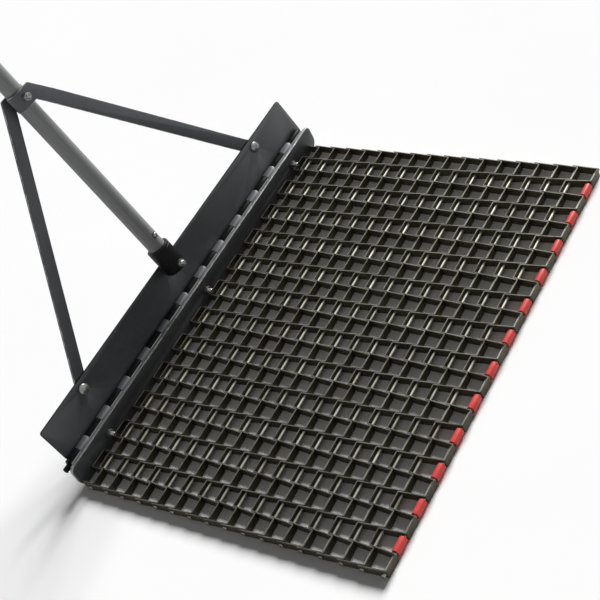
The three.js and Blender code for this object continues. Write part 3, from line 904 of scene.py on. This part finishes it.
def make_leaf():
    """Hinge leaf behind the bar, rolled over the pin wherever the plate has a gap."""
    low, top = leaf_foot - hinge_height, -(knuckle_outer + leaf_clear)
    outline = [(leaf_start, low), (leaf_end, low)]
    for i in reversed(range(tongue_count + 1)):
        right = tongue_start(i) - knuckle_gap
        left = tongue_start(i - 1) + tongue_width + knuckle_gap if i else leaf_start
        if i < tongue_count:
            outline.append((right, top))
        outline += [(right, roll_length), (left, roll_length)]
        if i:
            outline.append((left, top))
    holes = [circle(bar_bolt_y(i) - hinge_offset, bar_bolt_height - hinge_height, bolt_hole)
             for i in range(bar_bolt_count)]

    def lay(u, v):
        turn = max(v, 0) / knuckle_middle
        return (knuckle_middle * math.cos(turn), u, knuckle_middle * math.sin(turn) + min(v, 0))
    mesh = sheet(outline, holes, [("v", level) for level in roll_levels], lay, plate_thickness,
                 plate_edge)
    # painted highlight: the knuckles' outer faces between these turns that face forward get the
    # light band
    for face in mesh.polygons:
        outside = math.hypot(face.center.x, face.center.z) > knuckle_middle
        if (outside and highlight_from < turn_round_pin(face) < highlight_to
                and face.normal.x > highlight_facing):
            face.material_index = painted_light_slot
    # painted shade: the leaf is near-black
    piece("rolled_leaf", mesh, shifted(hinge_x, hinge_offset, hinge_height), "bar",
          ["leaf", "leaf", "leaf highlight"], ["hinge_leaf"])


def make_bar_bolts():
    bar_front = bar_thickness / 2
    grip = bar_front + 2 * seat_gap - leaf_back + seat_gap
    for i in range(bar_bolt_count):
        y, n = bar_bolt_y(i), i + 1
        fastener(f"bar_bolt_{n}_threaded", hex_bolt(grip, bolt_past),
                 shifted(leaf_back - seat_gap, y, bar_bolt_height), "bar", f"bar_bolt_{n}")
        fastener(f"bar_nut_{n}_hex", nut(), shifted(bar_front + seat_gap, y, bar_bolt_height),
                 "bar", f"bar_nut_{n}")


def make_plate():
    """Leader plate, with tongues rolled round the pin and an ear at its +Y end."""
    half, corner = plate_half, plate_corner_radius
    slot = plate_slot_rise - plate_slot_lip
    outline = [(-half, slot)]
    for i in range(tongue_count):
        left, right = tongue_start(i), tongue_start(i) + tongue_width
        outline += [(left, slot), (left, -roll_length), (right, -roll_length), (right, slot)]
    outline += [(plate_inner, slot), (plate_inner, -plate_ear_drop)]
    outline += (arc(half - corner, corner - plate_ear_drop, corner, -90, 0)
                + arc(half - corner, plate_rise - corner, corner, 0, 90)
                + arc(-half + corner, plate_rise - corner, corner, 90, 180))
    holes = [circle(side * brace_bolt_reach, brace_bolt_rise, bolt_hole) for side in (-1, 1)]
    holes.append(circle(pole_offset, socket_bolt_rise, bolt_hole))

    def lay(u, v):
        if u > plate_inner - knuckle_gap:
            return (-knuckle_middle, u, v)
        turn = max(-v, 0) / knuckle_middle
        return (-knuckle_middle * math.cos(turn), u, max(v, 0) - knuckle_middle * math.sin(turn))
    mesh = sheet(outline, holes, [("v", -level) for level in roll_levels], lay, plate_thickness,
                 plate_edge, edge_slot)
    # painted light: the rolled faces of the tongues get the lighter tongue finish
    for face in mesh.polygons:
        if (face.material_index == face_slot and abs(turn_round_pin(face)) < tongue_light_reach
                and face.center.y < plate_inner):
            face.material_index = painted_light_slot
    # painted shade: the plate's edges take the leaf's near-black
    piece("rolled_leader_plate", mesh, lead_frame, "lead",
          ["plate", "leaf", "tongue"], ["leader_plate"])


def make_pin():
    low, high = leaf_start - pin_start_past, leaf_end + pin_past
    end_radius = pin_radius - pin_edge
    profile = [(axis_radius, low), (end_radius, low), (pin_radius, low + pin_edge),
               (pin_radius, high - pin_edge), (end_radius, high), (axis_radius, high)]
    # painted shade: the pin takes the leaf's near-black
    piece("round_hinge_pin", turned(profile, small_steps), lead_frame @ along_y, "lead",
          ["leaf"], ["hinge_pin"])


# pole
def make_pole():
    """Tube with a round hole for the button, cut between two rings of the tube."""
    edge = pole_edge
    low, high = button_rise - 2 * button_hole, button_rise + 2 * button_hole
    profile = [(pole_inner, pole_foot + edge), (pole_inner + edge, pole_foot),
               (pole_radius - edge, pole_foot), (pole_radius, pole_foot + edge),
               (pole_radius, low), (pole_radius, high), (pole_radius, pole_top - edge),
               (pole_radius - edge, pole_top), (pole_inner + edge, pole_top),
               (pole_inner, pole_top - edge), (pole_inner, high), (pole_inner, low)]
    start, end = (share * pole_radius for share in button_hole_shares)
    cutter = add_object("cutter", turned([(axis_radius, start), (button_hole, start),
                                          (button_hole, end), (axis_radius, end)], small_steps))
    cutter.data.transform(shifted(0, 0, button_rise) @ button_frame @ along_x)
    tube = with_modifiers(turned(profile, closed=True),
                          ("BOOLEAN", {"object": cutter, "operation": "DIFFERENCE"}))
    bpy.data.objects.remove(cutter)
    piece("satin_pole", tube, pole_frame, "lead", ["tube"], ["pole"])


def make_socket():
    """Black socket with a round foot, and a groove and a rounded lip at its rim."""
    rim, lip, seat = socket_rim, socket_lip, pole_foot - seat_gap
    grooved = socket_radius - lip / 2
    levels = [rim - share * lip for share in socket_groove_shares]
    profile = [(axis_radius, socket_foot)]
    profile += arc(socket_radius - socket_round, socket_foot + socket_round, socket_round, -90, 0)
    profile += zip((socket_radius, grooved, grooved, socket_radius), levels)
    profile += arc(socket_radius - lip, rim - lip, lip, 0, 90, corner_steps // 2)
    profile += [(pole_bore, rim), (pole_bore, seat), (axis_radius, seat)]
    piece("moulded_socket", turned(profile), pole_frame, "lead", ["plastic"],
          ["pole_socket"])


def make_grip():
    """Rubber grip with rings of grooves between two plain collars."""
    end = pole_top + seat_gap + grip_end_wall
    foot = end - grip_length
    profile = [(pole_bore, foot), (grip_radius - pole_edge, foot), (grip_radius, foot + pole_edge),
               (grip_radius, foot + grip_collar)]
    pitch, floor = grip_groove_pitch, grip_radius - grip_groove
    z = foot + grip_collar
    while z + pitch < end - grip_collar:
        levels = [z + pitch * share for share in grip_groove_shares]
        profile += zip((floor, floor, grip_radius), levels)
        profile.append((grip_radius, z + pitch))
        z += pitch
    profile += arc(grip_radius - grip_round, end - grip_round, grip_round, 0, 90)
    profile += [(axis_radius, end), (axis_radius, end - grip_end_wall),
                (pole_bore, end - grip_end_wall)]
    piece("ribbed_grip", turned(profile, closed=True), pole_frame, "lead",
          ["rubber"], ["hand_grip"])


def make_button():
    """Snap button with a dome outside and a flange that holds it behind the pole's wall."""
    seat = math.sqrt(pole_inner ** 2 - button_flange_radius ** 2) - seat_gap
    back = seat - button_flange_thickness
    tip, radius = pole_radius + button_stand, button_radius
    dome = [(radius * math.cos(math.radians(a)), tip - radius * (1 - math.sin(math.radians(a))) / 2)
            for a in between(0, 90, corner_steps)[:-1]]
    profile = [(axis_radius, back), (button_flange_radius, back), (button_flange_radius, seat),
               (radius, seat), *dome, (axis_radius, tip)]
    fastener("domed_button", turned(profile, small_steps),
             pole_frame @ shifted(0, 0, button_rise) @ button_frame, "button", "snap_button")


# braces
def brace_outline(side, wrap):
    """The flat strap in front view (y, z), from its round foot to the end that turns, at wrap."""
    bolt_y = side * brace_bolt_reach
    half = brace_width / 2
    run = Vector((pole_offset + side * pole_radius - bolt_y, clamp_rise - brace_bolt_rise))
    along = run.normalized()
    outward = Vector((along.y, -along.x)) * side        # from the strap's middle line, off the pole
    bolt = Vector((bolt_y, brace_bolt_rise))
    band_low, band_high = clamp_rise - clamp_band / 2, clamp_rise + clamp_band / 2

    def edge(direction, z):
        start = bolt + direction * half
        return tuple(start + along * (z - start.y) / along.y)
    start = math.degrees(math.atan2(outward.y, outward.x))
    end = [edge(-outward, band_low), (wrap, band_low), (wrap, band_high), edge(outward, band_high)]
    return end + arc(*bolt, half, start, start - side * 180, corner_steps * 2)


def brace_mesh(side):
    """Strap bent in two places, with its end turned a quarter round the pole."""
    on_pole = pole_bore + brace_thickness / 2
    wrap = pole_offset - side * on_pole * math.pi / 2
    foot_x = plate_back - seat_gap - brace_thickness / 2
    pad_x = pole_x + side * on_pole
    low_bend, high_bend = plate_rise + brace_bend_past, clamp_rise - brace_upper_bend
    slope = (pad_x - foot_x) / (high_bend - low_bend)
    soft = brace_bend_half

    def depth(z):
        """Distance of the sheet from its foot's plane, with rounded bends."""
        def eased(distance):
            if distance <= -soft:
                return 0
            return distance if distance >= soft else (distance + soft) ** 2 / (4 * soft)
        return slope * (eased(z - low_bend) - eased(z - high_bend))

    def lay(u, v):
        past = side * (pole_offset - u)
        if past <= 0:
            return (foot_x + depth(v), u, v)
        turn = past / on_pole
        x = pole_x + side * on_pole * math.cos(turn)
        return (x, pole_offset - side * on_pole * math.sin(turn), v)
    levels = [("v", bend + offset) for bend in (low_bend, high_bend)
              for offset in between(-soft, soft, brace_bend_steps)]
    levels += [("u", level) for level in between(pole_offset, wrap, corner_steps)[:-1]]
    return sheet(brace_outline(side, wrap), [], levels, lay, brace_thickness, brace_edge)


brace_sides = (("right", 1), ("left", -1))


def make_braces():
    for name, side in brace_sides:
        piece(f"strap_{name}", brace_mesh(side), lead_frame, "lead",
              ["brace", "worn"], [f"brace_{name}"])
    for name, side in brace_sides:
        y = side * brace_bolt_reach
        fastener(f"dome_bolt_{name}", dome_bolt(plate_front - brace_back),
                 lead_frame @ shifted(plate_front, y, brace_bolt_rise), "lead",
                 f"brace_bolt_{name}")
        fastener(f"brace_nut_{name}_hex", nut(),
                 lead_frame @ shifted(brace_back - nut_thickness, y, brace_bolt_rise), "lead",
                 f"brace_nut_{name}")


def make_pole_bolts():
    """Bolts through the socket and, above it, through the pole and both braces."""
    socket_front = pole_x + socket_radius
    clamp_half = pole_bore + brace_thickness + seat_gap
    bolts = (
        ("socket", plate_back - seat_gap, socket_front - plate_back + 2 * seat_gap, bolt_past,
         socket_front + seat_gap, socket_bolt_rise),
        ("clamp", pole_x - clamp_half, 2 * clamp_half, clamp_bolt_past, pole_x + clamp_half,
         clamp_rise))
    for name, start, grip, past, nut_start, rise in bolts:
        fastener(f"{name}_bolt_threaded", hex_bolt(grip, past),
                 lead_frame @ shifted(start, pole_offset, rise), "lead", f"{name}_bolt")
        fastener(f"{name}_nut_hex", nut(),
                 lead_frame @ shifted(nut_start, pole_offset, rise), "lead", f"{name}_nut")


# stage, light and camera: places and distances are in metres
camera_place = (1.235663, -0.836477, 1.205093)
camera_turn = 51.5360                  # about Z
camera_tilt = 49.1123                  # up from straight down
camera_roll = -30.1924                 # about the line of sight
picture_width = 600
focal_pixels = 1338.087
sensor_width = 36                      # millimetres
clip_near = 0.05
clip_far = 40
floor_half = 8
floor_gap = 0.0004
floor_squares = 8
floor_white = (0.985, 0.985, 0.985, 1)
floor_cloud = (0.975, 0.975, 0.975, 1)
floor_roughness = 0.9
key_direction = (-0.12, 0.84, 0.53)    # towards the lamp
key_share = 0.89                       # of the light on a level surface
world_share = 0.11
key_softness = 24                      # degrees across


def make_floor():
    bm = bmesh.new()
    bmesh.ops.create_grid(bm, x_segments=floor_squares, y_segments=floor_squares, size=floor_half)
    mesh = to_mesh(bm)
    mesh.transform(shifted(0, 0, -floor_gap))
    finish = Finish("studio floor", specular=0)
    finish.base(finish.blend(finish.patches(3, detail=3), floor_cloud, floor_white))
    finish.shader.inputs["Roughness"].default_value = floor_roughness
    mesh.materials.append(finish.material)
    floor = add_object("studio_floor", mesh)


def make_world():
    """Dim soft light from all round; the camera, gloss and glass see plain white."""
    world = bpy.data.worlds.new("studio")
    bpy.context.scene.world = world
    world.use_nodes = True
    nodes, links = world.node_tree.nodes, world.node_tree.links
    background = nodes["Background"]
    background.inputs["Color"].default_value = (1, 1, 1, 1)
    path = nodes.new("ShaderNodeLightPath")

    def larger(first, second):
        node = nodes.new("ShaderNodeMath")
        node.operation = "MAXIMUM"
        links.new(first, node.inputs[0])
        links.new(second, node.inputs[1])
        return node.outputs[0]
    seen = larger(path.outputs["Is Camera Ray"], path.outputs["Is Glossy Ray"])
    seen = larger(seen, path.outputs["Is Transmission Ray"])
    strength = nodes.new("ShaderNodeMapRange")
    strength.inputs["To Min"].default_value = world_share
    strength.inputs["To Max"].default_value = 1
    links.new(seen, strength.inputs["Value"])
    links.new(strength.outputs["Result"], background.inputs["Strength"])


def make_key():
    """The main lamp, which gives its share of the light on a level surface."""
    lamp = bpy.data.lights.new("key", "SUN")
    towards = Vector(key_direction).normalized()
    lamp.energy = key_share * math.pi / towards.z
    lamp.angle = math.radians(key_softness)
    key = add_object("key", lamp)
    key.rotation_mode = "QUATERNION"
    key.rotation_quaternion = towards.to_track_quat("Z", "Y")


def make_camera():
    data = bpy.data.cameras.new("camera")
    data.sensor_width = sensor_width
    data.lens = focal_pixels * sensor_width / picture_width
    data.clip_start, data.clip_end = clip_near, clip_far
    camera = add_object("camera", data)
    turn, tilt, roll = (Matrix.Rotation(math.radians(angle), 4, axis) for angle, axis in
                        ((camera_turn, "Z"), (camera_tilt, "X"), (camera_roll, "Z")))
    camera.matrix_world = Matrix.Translation(camera_place) @ turn @ tilt @ roll
    bpy.context.scene.camera = camera


make_camera()
make_floor()
make_world()
make_key()
bpy.context.scene.view_settings.view_transform = "Standard"

make_mat()
make_bar()
make_leaf()
make_bar_bolts()
make_plate()
make_pin()
make_pole()
make_socket()
make_grip()
make_button()
make_braces()
make_pole_bolts()
